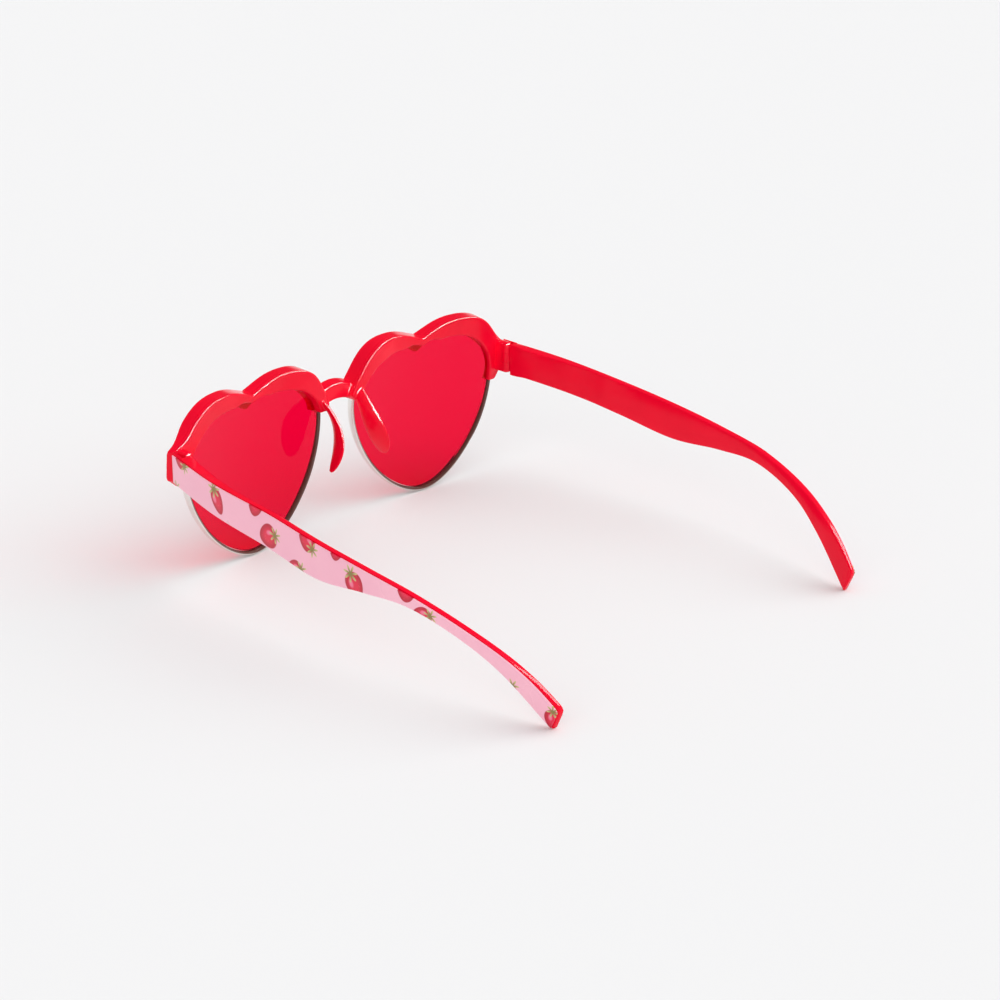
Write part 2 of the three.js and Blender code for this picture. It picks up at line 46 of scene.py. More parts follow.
# lens plane, shared by the brow bar, the lenses and the rim wires (mm)
front = {
    "lensSpacing": 72.2,
    "lensLevel": 35.05,
    "wrap": math.radians(4.3),
    "lean": math.radians(0.85),
    "ballRadius": 140.0,
    "ballDrop": 10.0,
    "bendStart": 22.0,        # the ball eases out from here towards both ends
    "noseBendEnd": 30.0,
    "templeBendEnd": 31.0,
    "endTurn": -0.105,        # slope of the endpiece
}
heart = {
    "half": 28.1,
    "drop": 34.0,
    "rise": 15.6,
    "lobe": 10.5,
    "dip": 2.1,
    "pointBlunt": 0.43,
    "flankFull": 0.51,
    "shoulderFull": 0.7,
    "crownFull": 0.34,
    "notchSweep": 0.6,
    "notchOpen": 0.2,
    "notchFall": 0.57,
}
endpiece = {"out": 34.5, "top": 7.1, "low": -1.7, "tail": (30.4, -4.9)}
hinge = {
    "level": 37.95,
    "up": 2.9,                # the axis is set out at this height on the front
    "inset": 2.7,             # axis inside the side face of the endpiece
    "setback": 2.6,           # axis behind the brow bar
    "half": 4.9,              # half the height of all the knuckles together
    "knuckle": 1.5,
    "clear": 0.14,
    "seam": 0.03,
    "rear": 2.5,
    "endRear": 1.25,
    "root": 2.0,              # the front knuckles reach this far into the brow bar
    "lugEnd": [(0, 0.5), (0.15, 0.2), (0.5, 0)],    # distance from the outer end, inset
    "hollow": 0.05,           # room round the middle knuckle
    "hollowTurn": (-18, -162),
    "webOverlap": 0.3,
    "leafOver": 0.6,
    "edge": 0.05,
    "arcSteps": 16,
    "sides": 40,
}


def lerp(a, b, share):
    return a + (b - a) * share


def smooth(value, low, high):
    share = min(max((value - low) / (high - low), 0), 1)
    return share * share * (3 - 2 * share)


def bezier(points, share):
    points = [Vector(p) for p in points]
    while len(points) > 1:
        points = [a.lerp(b, share) for a, b in zip(points, points[1:])]
    return points[0]


def bend(u):
    out = abs(u)
    start = front["bendStart"]
    if out <= start:
        return out * out / (2 * front["ballRadius"])
    slope = start / front["ballRadius"]
    end, last = front["templeBendEnd"], front["endTurn"]
    if u < 0:
        end, last = front["noseBendEnd"], 0.0
    run = min(out, end) - start
    depth = start * slope / 2 + slope * run + (last - slope) * run * run / (2 * (end - start))
    return depth + last * max(out - end, 0)


def onFront(u, v, w):
    # u outwards and v up from the middle of the left lens, w towards the wearer
    ball = bend(u) + (v + front["ballDrop"]) ** 2 / (2 * front["ballRadius"])
    x, y, z = u + front["lensSpacing"] / 2, w + ball, v
    lean, wrap = front["lean"], front["wrap"]
    y, z = y * math.cos(lean) - z * math.sin(lean), y * math.sin(lean) + z * math.cos(lean)
    x, y = x * math.cos(wrap) - y * math.sin(wrap), x * math.sin(wrap) + y * math.cos(wrap)
    return Vector((x, y, z + front["lensLevel"]))


endX = onFront(endpiece["out"], hinge["up"], hinge["rear"]).x
endY = onFront(endpiece["out"], endpiece["top"], hinge["endRear"]).y
hingeX = endX - hinge["inset"]
hingeY = onFront(endpiece["out"] - hinge["inset"], hinge["up"], hinge["rear"]).y + hinge["setback"]
screwLow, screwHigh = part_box("hinge_screw_left")
shiftY = (screwLow[1] + screwHigh[1]) / 2 / mm - hingeY
print("front set out, shift", round(shiftY, 3))


def place(point):
    return Vector((point[0] * mm, (point[1] + shiftY) * mm, max(point[2], 0) * mm))


def clearSelection():
    if bpy.context.object and bpy.context.object.mode != "OBJECT":
        bpy.ops.object.mode_set(mode="OBJECT")
    bpy.ops.object.select_all(action="DESELECT")


def pick(*objects):
    clearSelection()
    for item in objects:
        item.select_set(True)
    bpy.context.view_layer.objects.active = objects[0]


def sweep(name, rings):
    # a filled circle is extruded from ring to ring, and its ends stay closed
    clearSelection()
    bpy.ops.mesh.primitive_circle_add(vertices=len(rings[0]), radius=mm, fill_type="NGON")
    piece = bpy.context.object
    piece.name = name
    piece.data.name = name
    bpy.ops.object.mode_set(mode="EDIT")
    mesh = bmesh.from_edit_mesh(piece.data)
    order = mesh.verts.layers.int.new("ringOrder")
    for number, vert in enumerate(mesh.verts):
        vert[order] = number
        vert.co = place(rings[0][number])
    bmesh.update_edit_mesh(piece.data)
    for ring in rings[1:]:
        bpy.ops.mesh.extrude_region_move()
        mesh = bmesh.from_edit_mesh(piece.data)
        order = mesh.verts.layers.int["ringOrder"]
        for vert in mesh.verts:
            if vert.select:
                vert.co = place(ring[vert[order]])
        bmesh.update_edit_mesh(piece.data)
    bpy.ops.mesh.select_all(action="SELECT")
    bpy.ops.mesh.normals_make_consistent(inside=False)
    bpy.ops.object.mode_set(mode="OBJECT")
    piece.data.attributes.remove(piece.data.attributes["ringOrder"])
    return piece


def applyAll(piece):
    pick(piece)
    for modifier in list(piece.modifiers):
        bpy.ops.object.modifier_apply(modifier=modifier.name)


def joinAll(pieces):
    pick(*pieces)
    bpy.ops.object.join()
    return pieces[0]


def settle(piece, angle=40):
    # place goes into the mesh, normals outwards, soft shading
    pick(piece)
    bpy.ops.object.transform_apply(location=True, rotation=True, scale=True)
    bpy.ops.object.mode_set(mode="EDIT")
    bpy.ops.mesh.select_all(action="SELECT")
    bpy.ops.mesh.normals_make_consistent(inside=False)
    bpy.ops.object.mode_set(mode="OBJECT")
    bpy.ops.object.shade_smooth_by_angle(angle=math.radians(angle))


def mirrored(piece, name):
    pick(piece)
    bpy.ops.object.duplicate()
    other = bpy.context.object
    other.name = name
    other.data.name = name
    bpy.ops.object.mode_set(mode="EDIT")
    bpy.ops.mesh.select_all(action="SELECT")
    bpy.ops.transform.mirror(constraint_axis=(True, False, False), center_override=(0, 0, 0))
    bpy.ops.mesh.normals_make_consistent(inside=False)
    bpy.ops.object.mode_set(mode="OBJECT")
    return other


def rounded(corners, radius, steps=3):
    # corners of a section, each cut back by its radius and turned through a short curve
    mostCut = 0.45            # share of an edge
    ring = []
    count = len(corners)
    for number in range(count):
        here = Vector(corners[number])
        before = Vector(corners[number - 1]) - here
        after = Vector(corners[(number + 1) % count]) - here
        cut = min(radius, before.length * mostCut, after.length * mostCut)
        first = here + before.normalized() * cut
        last = here + after.normalized() * cut
        ring += [bezier([first, here, last], step / steps) for step in range(steps + 1)]
    return ring


def heartSide(steps):
    # from the bottom point up the temple side to the notch
    h = heart
    half, drop, rise, lobe = h["half"], h["drop"], h["rise"], h["lobe"]
    flank = [(0, -drop), (h["pointBlunt"] * half, -drop),
             (half, -h["flankFull"] * drop), (half, 0)]
    crown = [(half, 0), (half, h["shoulderFull"] * rise),
             (lobe + h["crownFull"] * half, rise), (lobe, rise)]
    notch = [(lobe, rise), (lobe * h["notchSweep"], rise),
             (lobe * h["notchOpen"], rise - h["dip"] * h["notchFall"]), (0, rise - h["dip"])]
    line = []
    for part in (flank, crown, notch):
        line += [bezier(part, step / steps) for step in range(steps)]
    return line + [Vector(notch[-1])]


def offsetLine(line, distance):
    moved = []
    for number, point in enumerate(line):
        before = line[max(number - 1, 0)]
        after = line[min(number + 1, len(line) - 1)]
        run = (after - before).normalized()
        moved.append(point + Vector((run.y, -run.x)) * distance)
    return moved


def walk(line, count):
    # points at even steps along a line
    lengths = [0.0]
    for a, b in zip(line, line[1:]):
        lengths.append(lengths[-1] + (b - a).length)
    points = []
    spot = 0
    for number in range(count):
        want = lengths[-1] * number / (count - 1)
        while spot < len(line) - 2 and lengths[spot + 1] < want:
            spot += 1
        run = lengths[spot + 1] - lengths[spot]
        points.append(line[spot].lerp(line[spot + 1], (want - lengths[spot]) / run if run else 0))
    return points


brow = {
    "rear": 2.15,
    "front": -3.05,
    "endHollow": 0.9,         # the rear falls this much towards the endpiece
    "endHollowRun": (29.5, 33.9),
    "hollowDepth": 1.5,
    "endThin": 1.95,          # and the front comes back this much
    "endThinRun": (27, 33.5),
    "lip": 2.0,
    "lipEnd": 0.5,            # the lip is this narrow at the lower ends
    "lipFull": 12.0,
    "lipRear": -1.0,          # the lip ahead of the lens ends here
    "lipClear": 0.6,
    "notchPoint": 1.2,        # the lip hangs lower at the notch
    "notchPointOut": 4,
    "notchRelief": 2.5,       # the rear edge of the opening stands higher there
    "reliefOut": 8.5,
    "reliefRear": -0.9,
    "rise": 19.6,
    "lobe": 14.4,
    "dip": 3.6,
    "notchOpen": 0.45,
    "notchFall": 0.34,
    "crown": 0.58,
    "flankStart": 0.66,
    "flankEnd": 0.77,
    "flankHeight": 0.48,
    "taper": 0.57,
    "round": 0.36,
    "waist": (30.1, 10.7),
    "waistTurn": (32.3, 8.5),
    "noseTop": (29.4, 8.8),
    "noseSide": (31.5, 4.4),
    "noseFoot": (30, 2.6),
    "noseSwell": 1.35,        # the rear stands out more beside the nose
    "noseSwellRun": (13, 24),
    "curveSteps": 30,
    "heartSteps": 40,
    "sections": 46,
    "voxel": 0.24,
    "soften": 6,
    "softenShare": 0.5,
}
bridge = {
    "half": 8.1,
    "top": 10.2,
    "height": 5.8,
    "depth": 3.8,
    "setIn": 1.75,
    "arch": 2.4,
    "rearDrop": 0.8,
    "round": 0.5,
    "sections": 24,
}
pad = {
    "root": (7.6, -0.75, 6.5),
    "belly": (5.3, 9.85, -2.3),
    "tip": (11.3, 6.85, -14.0),
    "rootWidth": 4.6,
    "width": 7.5,
    "thickness": 1.6,
    "spread": 0.62,
    "round": 0.6,
    "closed": 0.975,
    "thin": 0.35,
    "turn": math.radians(20),
    "sections": 40,
    "crowding": 1.4,          # the sections lie closer towards the tip
    "sides": 24,
}
noseRear = 6.547              # the bridge and the nose pads are set out from this depth


def curveFrom(points, steps):
    # points along a curve, without its first one
    return [bezier(points, step / steps) for step in range(1, steps + 1)]


def browTop(side, end):
    b = brow
    fall = end[0] - b["lobe"]
    crown = [(0, b["rise"] - b["dip"]),
             (b["lobe"] * b["notchOpen"], b["rise"] - b["dip"] * b["notchFall"]),
             (b["lobe"] * b["crown"], b["rise"]), (b["lobe"], b["rise"])]
    flank = [(b["lobe"], b["rise"]), (b["lobe"] + b["flankStart"] * fall, b["rise"]),
             (b["lobe"] + b["flankEnd"] * fall, end[1] + b["flankHeight"] * (b["rise"] - end[1])), end]
    steps = b["curveSteps"]
    line = [bezier(crown, step / steps) for step in range(steps)] + [Vector(flank[0])]
    return [Vector((side * p.x, p.y)) for p in line + curveFrom(flank, steps)]


def browLines(side):
    # outer and inner edge of the bar from the notch to one end
    b = brow
    if side > 0:
        corner = (endpiece["out"], endpiece["top"])
        lowCorner = (endpiece["out"], endpiece["low"])
        foot = endpiece["tail"]
        outer = browTop(side, b["waist"])
        outer += curveFrom([b["waist"], b["waistTurn"], corner], 10)
        outer += curveFrom([corner, lowCorner], 8) + curveFrom([lowCorner, foot], 6)
    else:
        foot = b["noseFoot"]
        outer = browTop(side, b["noseTop"])
        outer += [Vector((side * x, y)) for x, y in (b["noseSide"], foot)]
    end = foot[1]
    line = heartSide(b["heartSteps"])
    inner = []
    for point, near in zip(line, offsetLine(line, -1)):
        lip = lerp(b["lipEnd"], b["lip"], smooth(point.y, 0, b["lipFull"]))
        spot = point.lerp(near, lip)
        if spot.y > end + b["lipClear"] and spot.x > 0:
            inner.append(spot)
    inner.reverse()
    inner = [Vector((0, inner[0].y))] + inner + [Vector((inner[-1].x, end))]
    inner = [Vector((p.x, p.y - b["notchPoint"] * (1 - smooth(p.x, 0, b["notchPointOut"])))) for p in inner]
    inner = [Vector((side * p.x, p.y)) for p in inner]
    return walk(outer, b["sections"]), walk(inner, b["sections"])


def browSection(outer, inner):
    b = brow
    span = (outer - inner).length
    rear = b["rear"] + b["noseSwell"] * smooth(-outer.x, *b["noseSwellRun"])
    ahead = b["front"] + b["endThin"] * smooth(outer.x, *b["endThinRun"])
    relief = b["notchRelief"] * (1 - smooth(abs(inner.x), 0, b["reliefOut"]))
    corners = [(span - b["taper"], rear), (relief, rear), (relief, b["reliefRear"]),
               (0, b["lipRear"]), (0, ahead), (span, ahead)]
    ring = []
    for d, w in rounded(corners, b["round"]):
        spot = inner.lerp(outer, d / span)
        sink = b["endHollow"] * smooth(spot.x, *b["endHollowRun"]) * smooth(w, 0, b["hollowDepth"])
        ring.append(onFront(spot.x, spot.y, w - sink))
    return ring


def makeBar():
    noseOut, noseIn = browLines(-1)
    templeOut, templeIn = browLines(1)
    outer = noseOut[::-1] + templeOut[1:]
    inner = noseIn[::-1] + templeIn[1:]
    return sweep("browBar", [browSection(a, b) for a, b in zip(outer, inner)])


def makeBridge():
    b = bridge
    rear = noseRear - b["setIn"]
    ahead = rear - b["depth"]
    rings = []
    for step in range(b["sections"] + 1):
        x = lerp(-b["half"], b["half"], step / b["sections"])
        high = front["lensLevel"] + b["top"] - b["arch"] * (x / b["half"]) ** 2
        low = high - b["height"]
        corners = [(rear, high - b["rearDrop"]), (ahead, high), (ahead, low), (rear, low)]
        rings.append([Vector((x, y, z)) for y, z in rounded(corners, b["round"])])
    return sweep("bridge", rings)


def makePad():
    p = pad
    base = Vector((0, noseRear, front["lensLevel"]))
    spine = [Vector(p[name]) + base for name in ("root", "belly", "tip")]
    across = Vector((math.sin(p["turn"]), math.cos(p["turn"]), 0))
    flat = Vector((across.y, -across.x, 0))
    turns = [2 * math.pi * k / p["sides"] for k in range(p["sides"])]
    rings = []
    for step in range(p["sections"] + 1):
        t = 1 - (1 - step / p["sections"]) ** p["crowding"]
        middle = bezier(spine, t)
        spread = lerp(p["rootWidth"], p["width"], smooth(t, 0, p["spread"]))
        close = math.sqrt(1 - (p["closed"] * max(t - p["round"], 0) / (1 - p["round"])) ** 2)
        wide = spread * close / 2
        thick = p["thickness"] * lerp(p["thin"], 1, close) / 2
        rings.append([middle + across * (wide * math.cos(a)) + flat * (thick * math.sin(a))
                      for a in turns])
    return sweep("nosePad", rings)


def upright(name, radius, bottom, top):
    clearSelection()
    middle = place((hingeX, hingeY, (bottom + top) / 2))
    bpy.ops.mesh.primitive_cylinder_add(vertices=hinge["sides"], radius=radius * mm,
                                        depth=(top - bottom) * mm, location=middle)
    piece = bpy.context.object
    piece.name = name
    softenEdges(piece, hinge["edge"])
    return piece


def block(name, low, high, edge):
    clearSelection()
    middle = place((Vector(low) + Vector(high)) / 2)
    bpy.ops.mesh.primitive_cube_add(size=mm, location=middle)
    piece = bpy.context.object
    piece.name = name
    piece.scale = Vector(high) - Vector(low)
    bpy.ops.object.transform_apply(location=True, rotation=True, scale=True)
    softenEdges(piece, edge)
    return piece


def softenEdges(piece, width):
    bevel = piece.modifiers.new("edge", "BEVEL")
    bevel.width = width * mm
    bevel.segments = 3
    bevel.limit_method = "ANGLE"
    applyAll(piece)


knuckleRoot = hingeY - hinge["setback"] - hinge["root"]
lugTall = (2 * hinge["half"] - 2 * hinge["seam"]) / 3


def arc(radius, first, last):
    steps = hinge["arcSteps"]
    turns = [math.radians(lerp(first, last, k / steps)) for k in range(steps + 1)]
    return [(hingeX + radius * math.cos(a), hingeY + radius * math.sin(a)) for a in turns]


def stadium(inset):
    # plan of a knuckle with its arm
    reach = hinge["knuckle"] - inset
    return arc(reach, 0, 180) + [(hingeX - reach, knuckleRoot), (hingeX + reach, knuckleRoot)]


def makeFrontKnuckles():
    h = hinge
    bottom, top = h["level"] - h["half"], h["level"] + h["half"]
    levels = h["lugEnd"] + [(lugTall, 0)]
    made = []
    for outerEnd, inward in ((bottom, 1), (top, -1)):
        rings = [[Vector((x, y, outerEnd + inward * run)) for x, y in stadium(inset)]
                 for run, inset in levels]
        made.append(sweep("knuckle", rings))
    # web between the arms, hollowed round the middle knuckle of the temple
    plan = arc(h["knuckle"] + h["hollow"], *h["hollowTurn"])
    plan += [(hingeX - h["knuckle"], knuckleRoot), (hingeX + h["knuckle"], knuckleRoot)]
    reach = lugTall - h["webOverlap"]
    rings = [[Vector((x, y, z)) for x, y in plan] for z in (bottom + reach, top - reach)]
    made.append(sweep("web", rings))
    return joinAll(made)


def makeBrow():
    half = joinAll([makeBar(), makePad()])
    other = mirrored(half, "browOther")
    piece = joinAll([half, other, makeBridge()])
    piece.name = "browFrame"
    piece.data.name = "browFrame"
    remesh = piece.modifiers.new("fuse", "REMESH")
    remesh.mode = "VOXEL"
    remesh.voxel_size = brow["voxel"] * mm
    remesh.use_smooth_shade = True
    soften = piece.modifiers.new("soften", "SMOOTH")
    soften.factor = brow["softenShare"]
    soften.iterations = brow["soften"]
    applyAll(piece)
    knuckles = makeFrontKnuckles()
    joinAll([piece, knuckles, mirrored(knuckles, "knucklesOther")])
    settle(piece, 50)
    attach(piece, "front")
    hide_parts("brow_frame")
    print("brow frame modelled", len(piece.data.polygons))
    return piece


lens = {
    "fit": 0.15,
    "half": 0.8,
    "edge": 0.2,
    "middle": (0.0, -10.0),
    "heartSteps": 32,
    "rings": [0.04, 0.2, 0.4, 0.6, 0.8, 0.93],      # shares of the way to the rim
    "rimRing": 0.992,
}


def makeLens():
    side = offsetLine(heartSide(lens["heartSteps"]), -lens["fit"])
    side[0].x = 0
    side[-1].x = 0
    outline = side + [Vector((-p.x, p.y)) for p in side[-2:0:-1]]
    middle = Vector(lens["middle"])
    h, e, rim = lens["half"], lens["edge"], lens["rimRing"]
    stations = [(share, h) for share in lens["rings"]]
    stations += [(rim, h), (1, h - e), (1, e - h), (rim, -h)]
    stations += [(share, -h) for share in lens["rings"][::-1]]
    rings = []
    for share, w in stations:
        rings.append([onFront(*middle.lerp(p, share), w) for p in outline])
    piece = sweep("lensLeft", rings)
    settle(piece, 35)
    return piece


wire = {
    "centre": 0.6,
    "wide": 0.6,
    "deep": 1.2,
    "back": 0.2,
    "square": 0.7,            # below 1 the section is squarer than an ellipse
    "noseEnd": 5.2,
    "templeEnd": -2.3,
    "heartSteps": 60,
    "sections": 120,
    "sides": 20,
    # painted shade and dark reflection on the wire
    "shadeRearLean": 0.3,
    "shadeFlank": 1.1,
    "shadeFlankRun": (2, 12),
    "shadeLowRun": (4, 16),
    "shadeRange": (0.15, 0.45),
}


def squared(share):
    return math.copysign(abs(share) ** wire["square"], share)


def makeWire():
    line = offsetLine(heartSide(wire["heartSteps"]), wire["centre"])
    line[0].x = 0
    templeRun = [p for p in line if p.x >= 0 and p.y < wire["templeEnd"]]
    noseRun = [Vector((-p.x, p.y)) for p in line if p.x > 0 and p.y < wire["noseEnd"]]
    path = walk(noseRun[::-1] + templeRun, wire["sections"])
    turns = [2 * math.pi * k / wire["sides"] for k in range(wire["sides"])]
    rings = []
    for number, spot in enumerate(path):
        run = (path[min(number + 1, len(path) - 1)] - path[max(number - 1, 0)]).normalized()
        out = Vector((run.y, -run.x))
        ring = []
        for a in turns:
            q = spot + out * (squared(math.cos(a)) * wire["wide"])
            ring.append(onFront(q.x, q.y, wire["back"] + squared(math.sin(a)) * wire["deep"]))
        rings.append(ring)
    piece = sweep("rimWireLeft", rings)
    settle(piece, 60)
    return piece


def paintWireShade(piece, side):
    # painted shade and dark reflection: towards the lens, and all round on one flank, on the right wire
    # only in its upper run
    mark = piece.data.attributes.new("paintedWireShade", "FLOAT", "POINT")
    middle = onFront(*lens["middle"], 0)
    for number, vert in enumerate(piece.data.vertices):
        away = Vector((vert.co.x / mm - side * middle.x, 0, vert.co.z / mm - middle.z))
        inward = -vert.normal.dot(away.normalized())
        flank = smooth(-away.x, *wire["shadeFlankRun"])
        if side < 0:
            flank *= 1 - smooth(-away.z, *wire["shadeLowRun"])
        # how much painted shade and dark reflection this point of the wire gets
        shadeAmount = inward + wire["shadeRearLean"] * vert.normal.y + wire["shadeFlank"] * flank
        mark.data[number].value = smooth(shadeAmount, *wire["shadeRange"])


temple = {
    "length": 147.2,
    "gap": 0.3,
    "out": 0.5,
    "bow": 6.2,
    "fall": 34.525,
    "height": 8.4,
    "slant": 3.4,
    "face": 0.5,              # the printed facing lies in front of this depth
    "thickness": 2.4,
    "edge": 0.5,
    "pocketWall": 0.85,       # outer wall left beside the knuckles
    "block": 1.8,             # thicker part behind the knuckles
    "blockOver": 0.6,
    "blockStart": 0.5,
    "blockEnd": 34.0,
    "overEnd": 6.0,
    "bevelDepth": 0.6,        # bevel along the outer upper edge, growing towards the tip
    "bevelHeight": 0.35,
    "bevelFrom": 0.9,
    "leastBevel": 0.02,
    "facingBevel": 0.01,
    "tipRound": 1.3,
    "tipDrop": 1.1,           # the upper edge curves down over the last stretch
    "tipDropFrom": 9.0,
    "sections": 110,
    "frontStops": [1.0, 2.0, 3.0, 4.0],
    "pocketStep": 0.03,       # the wall steps back within this distance of the pocket's end
    "blockStops": [0.6] + [1.5 + step for step in range(12)],
    "tipRun": 4,
    "tipStops": [3.0, 2.2, 1.6, 1.2, 0.9, 0.65],
    # share of the length, bow, fall, height and slant at each station
    "stations": [(0, 0, 0.003, 1.08, 0), (0.147, 0.62, 0.074, 1.18, 0),
                 (0.316, 0.82, 0.152, 1.28, 0), (0.455, 1, 0.233, 1.31, 0),
                 (0.584, 0.97, 0.254, 0.84, 0), (0.703, 0.8, 0.297, 0.45, 0.75),
                 (0.822, 0.34, 0.456, 0.38, 0.98), (0.906, -0.22, 0.654, 0.49, 1.19),
                 (1, -0.95, 1, 0.875, 1)],
}
templeBody = {"near": temple["face"], "far": temple["thickness"], "margin": 0.0, "edge": temple["edge"],
              "endCut": 0.0, "endRound": 0.25, "body": True}
facing = {"near": 0.0, "far": 0.42, "margin": 0.3, "edge": 0.12,
          "endCut": 0.3, "endRound": 0.1, "body": False}


def curveThrough(points, t):
    last = len(points) - 1
    at = min(int(last * t), last - 1)
    share = last * t - at
    p1, p2 = points[at], points[at + 1]
    p0 = points[at - 1] if at > 0 else 2 * p1 - p2
    p3 = points[at + 2] if at + 2 <= last else 2 * p2 - p1
    d0, d1, d2 = [(b - a).length ** 0.5 for a, b in ((p0, p1), (p1, p2), (p2, p3))]
    t1 = ((p1 - p0) / d0 - (p2 - p0) / (d0 + d1) + (p2 - p1) / d1) * d1
    t2 = ((p2 - p1) / d1 - (p3 - p1) / (d1 + d2) + (p3 - p2) / d2) * d1
    c2 = -3 * p1 + 3 * p2 - 2 * t1 - t2
    c3 = 2 * p1 - 2 * p2 + t1 + t2
    return p1 + t1 * share + c2 * share ** 2 + c3 * share ** 3


def templeEdge(sign):
    t = temple
    points = []
    for along, bow, fall, height, slant in t["stations"]:
        back = slant * t["slant"] if sign < 0 else 0
        points.append(Vector((
            endX + t["out"] + bow * t["bow"], endY + t["gap"] + along * t["length"] - back,
            hinge["level"] - fall * t["fall"] + sign * height * t["height"] / 2)))
    return points


upperEdge, lowerEdge = templeEdge(1), templeEdge(-1)


def shareAt(distance):
    # share of the run of the upper edge at a distance behind the front end
    low, high = 0.0, 1.0
    for step in range(30):
        middle = (low + high) / 2
        if curveThrough(upperEdge, middle).y - upperEdge[0].y < distance:
            low = middle
        else:
            high = middle
    return low


pocketEnd = hingeY + hinge["knuckle"] + hinge["clear"] - upperEdge[0].y


def templeRing(distance, layer, inset=0.0):
    t = temple
    share = shareAt(distance)
    high, low = curveThrough(upperEdge, share), curveThrough(lowerEdge, share)
    up = high - low
    span = up.length
    near, far = layer["near"] + inset, layer["far"] - inset
    over = 0.0
    if layer["body"]:
        far += t["block"] * (1 - smooth(distance - pocketEnd, t["blockStart"], t["blockEnd"]))
        over = t["blockOver"] * (1 - smooth(distance - pocketEnd, t["blockStart"], t["overEnd"]))
        if distance < pocketEnd:
            far = layer["near"] + t["pocketWall"] - inset
    tipShare = smooth(distance, t["length"] * t["bevelFrom"], t["length"])
    fromEnd = t["length"] - distance
    rounding = 0.0
    if fromEnd < t["tipDropFrom"]:
        rounding = t["tipDrop"] * (1 - fromEnd / t["tipDropFrom"]) ** 2
    radius = t["tipRound"]
    if fromEnd < radius:
        rounding += radius - math.sqrt(max(radius ** 2 - (radius - fromEnd) ** 2, 0))
    trim = layer["margin"] + inset
    top = span - trim - rounding
    bevelDepth, bevelHeight = t["bevelDepth"] * tipShare, t["bevelHeight"] * tipShare
    if not layer["body"]:
        top -= bevelHeight
        bevelDepth = bevelHeight = t["facingBevel"]
    else:
        bevelDepth, bevelHeight = bevelDepth + t["leastBevel"], bevelHeight + t["leastBevel"]
    corners = [(near, trim), (far, trim - over), (far, top + over),
               (near + bevelDepth, top), (near, top - bevelHeight)]
    ring = []
    for depth, height in rounded(corners, layer["edge"]):
        spot = low + up * (height / span)
        ring.append(Vector((spot.x - depth, spot.y, spot.z)))
    return ring


def makeTempleLayer(name, layer):
    # the first and last rings are drawn in for a softened end
    t = temple
    length, cut, soft = t["length"], layer["endCut"], layer["endRound"]
    stops = [cut + soft] + t["frontStops"] + [pocketEnd - t["pocketStep"], pocketEnd + t["pocketStep"]]
    stops += [pocketEnd + step for step in t["blockStops"]]
    start, count = stops[-1], t["sections"]
    stops += [lerp(start, length - t["tipRun"], step / count) for step in range(1, count + 1)]
    stops += [length - back for back in t["tipStops"] if back > cut + soft]
    stops.append(length - cut - soft)
    rings = [templeRing(cut, layer, soft)]
    rings += [templeRing(stop, layer) for stop in stops]
    rings += [templeRing(length - cut, layer, soft)]
    return sweep(name, rings)


def makeTemple():
    h = hinge
    arm = makeTempleLayer("templeLeft", templeBody)
    tall = lugTall - 2 * h["seam"]
    low, high = h["level"] - tall / 2, h["level"] + tall / 2
    knuckle = upright("knuckle", h["knuckle"], low, high)
    reach = h["knuckle"] + h["clear"] + h["leafOver"]
    leaf = block("knuckleLeaf", (hingeX, hingeY, low), (hingeX + reach, hingeY + reach, high), h["edge"])
    piece = joinAll([arm, knuckle, leaf])
    settle(piece, 45)
    return piece


def makePrint():
    piece = makeTempleLayer("templePrintLeft", facing)
    settle(piece, 45)
    return piece


def nodeValue(tree, socket, value):
    if isinstance(value, bpy.types.NodeSocket):
        tree.links.new(value, socket)
    else:
        socket.default_value = value


def addMath(tree, operation, *values):
    node = tree.nodes.new("ShaderNodeMath")
    node.operation = operation
    for socket, value in zip(node.inputs, values):
        nodeValue(tree, socket, value)
    return node.outputs[0]


def addMix(tree, share, first, second):
    node = tree.nodes.new("ShaderNodeMix")
    node.data_type = "RGBA"
    nodeValue(tree, node.inputs["Factor"], share)
    nodeValue(tree, node.inputs[6], first)
    nodeValue(tree, node.inputs[7], second)
    return node.outputs[2]


def addRange(tree, value, fromLow, fromHigh, toLow, toHigh, kind="SMOOTHSTEP"):
    node = tree.nodes.new("ShaderNodeMapRange")
    node.interpolation_type = kind
    for socket, item in zip(node.inputs, (value, fromLow, fromHigh, toLow, toHigh)):
        nodeValue(tree, socket, item)
    return node.outputs[0]


def addNoise(tree, vector, scale, detail=3.0):
    node = tree.nodes.new("ShaderNodeTexNoise")
    nodeValue(tree, node.inputs["Vector"], vector)
    nodeValue(tree, node.inputs["Scale"], scale)
    node.inputs["Detail"].default_value = detail
    return node.outputs["Fac"]


def newGroup(name, inputs, outputs):
    tree = bpy.data.node_groups.new(name, "ShaderNodeTree")
    for label, kind in inputs:
        tree.interface.new_socket(label, in_out="INPUT", socket_type=kind)
    for label, kind in outputs:
        tree.interface.new_socket(label, in_out="OUTPUT", socket_type=kind)
    return tree, tree.nodes.new("NodeGroupInput").outputs, tree.nodes.new("NodeGroupOutput").inputs


def makeSkinGroup():
    # slow drift of colour and gloss, and the fine ripple of a moulded or drawn surface
    value, colour, vector = "NodeSocketFloat", "NodeSocketColor", "NodeSocketVector"
    tree, given, out = newGroup("mouldedSkin", [
        ("Vector", vector), ("Colour", colour), ("Deep Colour", colour), ("Drift Scale", value),
        ("Ripple Scale", value), ("Gloss Low", value), ("Gloss High", value)],
        [("Colour", colour), ("Roughness", value), ("Height", value)])
    drift = addNoise(tree, given["Vector"], given["Drift Scale"])
    ripple = addNoise(tree, given["Vector"], given["Ripple Scale"], 2.0)
    deep = addRange(tree, drift, 0.3, 0.75, 0, 1)
    gloss = addRange(tree, drift, 0.3, 0.7, given["Gloss Low"], given["Gloss High"], "LINEAR")
    tree.links.new(addMix(tree, deep, given["Colour"], given["Deep Colour"]), out["Colour"])
    tree.links.new(gloss, out["Roughness"])
    tree.links.new(ripple, out["Height"])
    return tree


